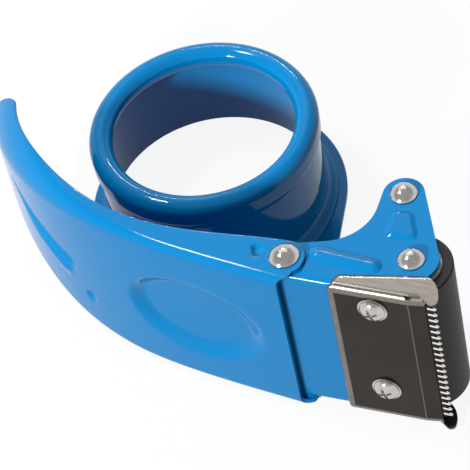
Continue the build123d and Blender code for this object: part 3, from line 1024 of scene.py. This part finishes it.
        # At the head's end only the web is closed, because both flanges run on into their noses.
        web = np.arange(self.flange_rows - 1, self.flange_rows + self.web_rows)
        faces.append(np.stack((outer[web], outer[web + 1], inner[web + 1], inner[web]), axis=1))
        points = [main.reshape(-1, 3)]
        total = len(points[0])
        for side in (1, -1):
            nose = self.nose(side)
            size = nose.shape[1]
            rings = total + np.arange(nose.shape[0] * size).reshape(-1, size)
            if side > 0:
                order = np.arange(self.flange_rows)
                rim = count - self.edge_rows + np.arange(self.edge_rows)
            else:
                order = rows - 1 - np.arange(self.flange_rows)
                rim = rows + np.arange(self.edge_rows)[::-1]
            seam = np.concatenate((order, inner[order][::-1], rim))
            faces.append(bridge(np.vstack((seam, rings[:-1])), rings))
            end = rings[-1]
            width = self.flange_rows
            outside, inside = end[:width], end[width : 2 * width][::-1]
            faces.append(np.stack((outside[:-1], outside[1:], inside[1:], inside[:-1]), axis=1))
            caps.append([*end[2 * width :], outside[0], inside[0]])
            points.append(nose.reshape(-1, 3))
            total += len(points[-1])
        return np.vstack(points), [*np.vstack(faces).tolist(), *(np.array(cap).tolist() for cap in caps)]

    def frame_at(self, run: np.ndarray) -> tuple[np.ndarray, np.ndarray, np.ndarray]:
        """Finds where the web is at lengths along it.

        Args:
            run: Lengths from the head's end.

        Returns:
            Plan point, heading and inward direction at each.
        """
        foot = np.stack([np.interp(run, self.run, self.line[:, k]) for k in (0, 1)], axis=1)
        heading = np.stack([np.interp(run, self.run, self.heading[:, k]) for k in (0, 1)], axis=1)
        return foot, heading, np.stack((heading[:, 1], -heading[:, 0]), axis=1)

    def sizes_at(self, run: np.ndarray) -> tuple[np.ndarray, np.ndarray]:
        """Gives the bend radius, which eases up over the tail, and the half width, which falls by a cube."""
        toward = np.clip((run / self.run[-1] - self.tail_start) / (1 - self.tail_start), 0, 1)
        return self.bend_front + self.tail_bend * ease(toward), self.half_width - self.tail_drop * toward**3

    def nose(self, side: int) -> np.ndarray:
        """Places the rounded end of a flange, past the web's end.

        A column's upper edge is the arc about the pivot: the pivot's height plus the root of the
        radius squared less the column's distance squared. Its lower edge is the slanted cut that
        starts at the web's end, and past the angle nose_square the arc again. The columns close up
        towards the end by the sine.

        Args:
            side: 1 for the upper flange, -1 for the lower.

        Returns:
            One closed loop of points per column.
        """
        foot, heading, inward = (v[0] for v in self.frame_at(np.array([self.run_at(self.web_end[0])])))
        away = -heading
        to_pivot = np.array(self.pivot) - foot
        over, up = to_pivot @ away, to_pivot @ inward
        small = self.nose_radius - self.edge_reach
        last = over + small * math.sqrt(1 - self.nose_close**2)
        across = last * np.sin(np.linspace(0, math.pi / 2, self.nose_columns + 1))[1:]
        ring = np.sqrt(np.maximum(self.nose_radius**2 - (across - over) ** 2, 0))
        high = up + np.sqrt(np.maximum(small**2 - (across - over) ** 2, 0)) + self.edge_reach
        slant = across * (1 + away[1])
        is_arc = across - over > self.nose_radius * math.cos(math.radians(self.nose_square))
        even = np.ones(len(across))
        return self.section(
            foot + across[:, None] * away,
            np.tile(inward, (len(across), 1)),
            self.run_at(self.web_end[0]) * even,
            self.bend_front * even,
            self.half_width * even,
            high,
            np.where(is_arc, up - ring, slant),
            False,
            side,
        )

    def bore(self, handle: bpy.types.Object) -> None:
        """Bores both flanges for the rivet's shank.

        Args:
            handle: The handle's object.
        """
        turn = np.linspace(0, 2 * math.pi, self.bore_sides, endpoint=False)
        ring = self.pivot_hole * np.stack((np.cos(turn), np.sin(turn)), axis=1) + np.array(self.pivot)
        ends = [np.hstack((ring, np.full((len(ring), 1), z))) for z in self.bore_ends]
        first, second = np.arange(2 * self.bore_sides).reshape(2, -1)
        faces = [*bridge(first, second).tolist(), first.tolist(), second.tolist()]
        cutter = add_piece("bore_cutter", np.vstack(ends), faces, handle.data.materials[0])
        cut = handle.modifiers.new("bore", "BOOLEAN")
        cut.object = cutter
        cut.solver = "EXACT"
        bored = bpy.data.meshes.new_from_object(handle.evaluated_get(bpy.context.evaluated_depsgraph_get()))
        handle.modifiers.clear()
        drawn = handle.data
        handle.data = bored
        bored.name = drawn.name
        bpy.data.meshes.remove(drawn)
        bpy.data.objects.remove(cutter)


@dataclass
class PressedForms:
    """The bead and the ear panel that stiffen the head's upper flange. Sizes are in mm."""

    flange_top: float = 60.7
    sunk: float = 0.25
    bead_center: tuple = (71.4, -62.1)
    bead_turn: float = -4.3
    bead_straight: float = 17.4
    bead_half: float = 3.0
    bead_height: float = 1.2
    panel_corners: tuple = ((79.0, -40.2), (79.6, -52.0), (90.9, -50.9), (86.3, -39.6))
    panel_height: float = 0.65
    panel_power: float = 4.5
    panel_rim: float = 2.3
    around: int = 96
    bead_rings: int = 15
    panel_rings: int = 17

    def build(self, material: bpy.types.Material) -> None:
        """Builds both forms on the flange.

        Args:
            material: The enamel.
        """
        for name, grid in (("head_bead", self.bead()), ("ear_panel", self.panel())):
            self.place(name, grid, material)

    def bead(self) -> np.ndarray:
        """Grid of the bead: a straight with round ends.

        Its height falls from ridge to outline as the cosine does over a quarter of its wave.

        Returns:
            Rings of points from the ridge outwards.
        """
        share = np.linspace(0, 1, self.bead_rings)[:, None]
        turn = np.linspace(0, 2 * math.pi, self.around, endpoint=False)[None]
        along = share * self.bead_half * np.cos(turn) + np.sign(np.cos(turn)) * self.bead_straight / 2
        across = share * self.bead_half * np.sin(turn)
        rise = self.bead_height * np.cos(math.pi / 2 * share) + 0 * turn
        angle = math.radians(self.bead_turn)
        x = self.bead_center[0] + along * math.cos(angle) - across * math.sin(angle)
        y = self.bead_center[1] + along * math.sin(angle) + across * math.cos(angle)
        return np.stack((x, y, self.flange_top + rise), axis=-1)

    def panel(self) -> np.ndarray:
        """Grid of the panel: rings from its centre to its outline, level inside and eased at the rim.

        The outline is a superellipse, |u| to the panel's power plus |v| to it being 1, that is
        stretched to the four corners.

        Returns:
            Rings of points from the centre outwards.
        """
        turn = np.linspace(0, 2 * math.pi, self.around, endpoint=False)
        circle = np.array((np.cos(turn), np.sin(turn)))
        u, v = (np.sign(circle) * np.abs(circle) ** (2 / self.panel_power))[..., None] / 2 + 0.5
        a, b, c, d = (np.array(p) for p in self.panel_corners)
        outline = (1 - u) * (1 - v) * a + u * (1 - v) * b + u * v * c + (1 - u) * v * d
        center = outline.mean(axis=0)
        share = np.linspace(0, 1, self.panel_rings)[:, None, None]
        plan = center + share * (outline - center)
        inside = (1 - share[..., 0]) * np.linalg.norm(outline - center, axis=1)
        rise = self.panel_height * ease(inside / self.panel_rim)
        return np.concatenate((plan, self.flange_top + rise[..., None]), axis=-1)

    def place(self, name: str, grid: np.ndarray, material: bpy.types.Material) -> None:
        """Closes a grid of rings below the flange's face and makes it a piece of the head.

        Args:
            name: Name of the piece.
            grid: Rings from the middle outwards.
            material: The enamel.
        """
        foot = grid[-1] - np.array((0, 0, self.sunk))
        points = np.vstack((grid.reshape(-1, 3), foot))
        rings = np.arange(len(points)).reshape(-1, grid.shape[1])
        faces = [*bridge(rings[:-1], rings[1:]).tolist(), rings[-1].tolist()]
        piece = add_piece(name, points, faces, material)
        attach(piece, Body.FRAME.value)


@dataclass
class PhotoCamera:
    """The camera, placed by the view that the photograph gives of the hub and the head."""

    azimuth: float = math.radians(29.4)
    elevation: float = math.radians(48.04)
    roll: float = math.radians(-13.31)
    distance: float = 0.92645
    focal_px: float = 2800.0
    frame_px: float = 470.0
    sensor_mm: float = 36.0
    clip: tuple = (0.05, 20.0)
    aim: Vector = field(default_factory=lambda: Vector((0.0, 0.0, 0.003)))
    aim_px: tuple = (220.197, 197.753)

    def build(self) -> bpy.types.Object:
        """Makes the camera the scene's own.

        Returns:
            The camera object.
        """
        back = Vector(
            (
                math.cos(self.elevation) * math.sin(self.azimuth),
                -math.cos(self.elevation) * math.cos(self.azimuth),
                math.sin(self.elevation),
            )
        )
        right = Vector((math.cos(self.azimuth), math.sin(self.azimuth), 0.0))
        up = back.cross(right)
        turned_right = math.cos(self.roll) * right + math.sin(self.roll) * up
        turned_up = math.cos(self.roll) * up - math.sin(self.roll) * right
        offset_right = (self.aim_px[0] - self.frame_px / 2) / self.focal_px * self.distance
        offset_up = (self.frame_px / 2 - self.aim_px[1]) / self.focal_px * self.distance
        place = self.aim + self.distance * back - offset_right * turned_right - offset_up * turned_up
        data = bpy.data.cameras.new("photo_camera")
        data.sensor_width = self.sensor_mm
        data.lens = self.focal_px * self.sensor_mm / self.frame_px
        data.clip_start, data.clip_end = self.clip
        camera = bpy.data.objects.new("photo_camera", data)
        turn = Matrix((turned_right, turned_up, back)).transposed().to_4x4()
        camera.matrix_world = Matrix.Translation(place) @ turn
        bpy.context.scene.collection.objects.link(camera)
        bpy.context.scene.camera = camera
        LOG.info("camera at %s", tuple(round(v, 4) for v in place))
        return camera


@dataclass(frozen=True)
class Lamp:
    """An oblong lamp that faces the object."""

    name: str
    place: tuple
    size: tuple
    watts: float

    def build(self) -> None:
        """Adds the lamp to the scene."""
        data = bpy.data.lights.new(self.name, "AREA")
        data.shape = "RECTANGLE"
        data.size, data.size_y = self.size
        data.energy = self.watts
        lamp = bpy.data.objects.new(self.name, data)
        lamp.location = self.place
        lamp.rotation_euler = (-Vector(self.place)).to_track_quat("-Z", "Y").to_euler()
        bpy.context.scene.collection.objects.link(lamp)


@dataclass
class Studio:
    """A white floor, a pale horizon under a darker ceiling, and soft lamps.

    Camera, mirror and glass rays see the surroundings bright, and matt surfaces get less light from
    them, so the ground stays white and the shadow faint.
    """

    floor_size: float = 6.0
    ambient: float = 0.2
    horizon: float = 1.0
    ceiling: float = 0.5
    horizon_end: float = 0.25
    ceiling_start: float = 0.6
    floor_color: str = "#F2F2F2"
    bounce_color: str = "#9A9A9A"
    glow_share: float = 0.9
    lamps: tuple = (
        Lamp("key_lamp", place=(-0.45, -1.35, 0.75), size=(0.14, 0.14), watts=22.0),
        Lamp("sheen_lamp", place=(-0.45, 0.95, 1.35), size=(1.2, 0.8), watts=2.6),
        Lamp("crest_lamp", place=(-0.42, 1.05, 0.95), size=(0.3, 0.05), watts=3.2),
        Lamp("top_lamp", place=(-0.5, 0.0, 1.2), size=(0.3, 0.14), watts=8.0),
    )

    def build(self) -> None:
        """Builds the floor, the world and the lamps."""
        self.build_world()
        self.build_floor()
        for lamp in self.lamps:
            lamp.build()

    def build_world(self) -> None:
        """Makes the world white at the horizon and dark overhead, and an even dim light to matt surfaces."""
        world = bpy.data.worlds.new("studio")
        bpy.context.scene.world = world
        world.use_nodes = True
        tree = world.node_tree
        tree.nodes.clear()
        seen = self.add_seen(tree)
        direction = add_node(tree, "ShaderNodeTexCoord").outputs["Generated"]
        rise = add_node(tree, "ShaderNodeSeparateXYZ", in_0=direction).outputs["Z"]
        sky = add_node(
            tree,
            "ShaderNodeMapRange",
            interpolation_type="SMOOTHSTEP",
            in_Value=rise,
            in_From_Min=self.horizon_end,
            in_From_Max=self.ceiling_start,
            in_To_Min=self.horizon,
            in_To_Max=self.ceiling,
        )
        level = add_node(
            tree, "ShaderNodeMix", data_type="FLOAT", in_0=seen, in_2=self.ambient, in_3=sky.outputs[0]
        )
        background = add_node(
            tree, "ShaderNodeBackground", in_Color=WHITE, in_Strength=level.outputs[0]
        )
        add_node(tree, "ShaderNodeOutputWorld", in_Surface=background.outputs[0])

    def add_seen(self, tree: bpy.types.NodeTree) -> bpy.types.NodeSocket:
        """Tells rays that show the surroundings from rays that only light a surface.

        Args:
            tree: Node tree of the world or the floor.

        Returns:
            An output that is 1 for camera, glossy and transmission rays.
        """
        path = add_node(tree, "ShaderNodeLightPath")
        mirrored = add_node(
            tree,
            "ShaderNodeMath",
            operation="MAXIMUM",
            in_0=path.outputs["Is Glossy Ray"],
            in_1=path.outputs["Is Transmission Ray"],
        )
        seen = add_node(
            tree,
            "ShaderNodeMath",
            operation="MAXIMUM",
            in_0=path.outputs["Is Camera Ray"],
            in_1=mirrored.outputs[0],
        )
        return seen.outputs[0]

    def build_floor(self) -> None:
        """Builds the floor. Most of the white that is seen on it glows, so that the shadow stays faint."""
        half = self.floor_size / 2
        corners = np.array([[-half, -half, 0], [half, -half, 0], [half, half, 0], [-half, half, 0]])
        mesh = bpy.data.meshes.new("floor")
        mesh.from_pydata(corners.tolist(), [], [(0, 1, 2, 3)])
        floor = bpy.data.objects.new("floor", mesh)
        bpy.context.scene.collection.objects.link(floor)
        material, tree = new_material("matt_white_floor")
        seen = self.add_seen(tree)
        share = add_node(tree, "ShaderNodeMath", operation="MULTIPLY", in_0=seen, in_1=self.glow_share)
        tone = add_node(
            tree,
            "ShaderNodeMix",
            data_type="RGBA",
            in_0=seen,
            in_6=linear(self.bounce_color),
            in_7=linear(self.floor_color),
        )
        matt = add_node(tree, "ShaderNodeBsdfDiffuse", in_Color=tone.outputs[2])
        glow = add_node(tree, "ShaderNodeEmission", in_Color=WHITE, in_Strength=1.0)
        mix = add_node(
            tree, "ShaderNodeMixShader", in_0=share.outputs[0], in_1=matt.outputs[0], in_2=glow.outputs[0]
        )
        add_node(tree, "ShaderNodeOutputMaterial", in_Surface=mix.outputs[0])
        mesh.materials.append(material)


@dataclass
class SteelFrame:
    """The enamelled pieces: the hub, the head and the handle."""

    enamel: BakedEnamel = field(default_factory=BakedEnamel)
    handle: HandleShell = field(default_factory=HandleShell)
    forms: PressedForms = field(default_factory=PressedForms)

    def build(self) -> None:
        """Dresses the hub and the head, and builds the handle, in one enamel."""
        coat = self.enamel.build()
        for node in ("hub_ring", "head_frame"):
            dress(node, coat)
        self.handle.build(coat)
        self.forms.build(coat)


@dataclass
class Hardware:
    """Rivets, axles, washers, the sleeve, the spring and the brake strip."""

    def build(self) -> None:
        """Dresses each piece in its metal."""
        plate = PLATED.build()
        for node in (
            "pivot_rivet",
            "guide_axle",
            "roller_axle",
            "roller_washers",
            "guide_washers",
            "blade_screws",
            "screw_washers",
        ):
            dress(node, plate)
        strip = STRIP_STEEL.build()
        for node in ("pivot_sleeve", "brake_lever", "roller_core"):
            dress(node, strip)
        dress("return_spring", SPRING_STEEL.build())
        dress("guide_roller", GUIDE_STEEL.build())


@dataclass
class Rollers:
    """The rubber roller with its bushes, and the brake's rubber pad."""

    def build(self) -> None:
        """Dresses the rubber and the nylon."""
        rubber = GroundRubber().build()
        dress("rubber_roller", rubber)
        dress("brake_pad", rubber)
        dress("roller_bushes", MouldedNylon().build())


@dataclass
class Cutter:
    """The blade and the cover over it."""

    def build(self) -> None:
        """Dresses the blade and the cover."""
        dress("blade", GroundBlade().build())
        dress("blade_cover", RolledStainless().build())


def main() -> None:
    """Builds the stage and the dispenser's sub-assemblies in order."""
    logging.basicConfig(level=logging.INFO, format="%(name)s: %(message)s")
    bpy.context.scene.view_settings.view_transform = "Standard"
    PhotoCamera().build()
    Studio().build()
    for assembly in (SteelFrame(), Hardware(), Rollers(), Cutter()):
        assembly.build()
        LOG.info("built %s", type(assembly).__name__)
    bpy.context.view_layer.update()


if __name__ == "__main__":
    main()
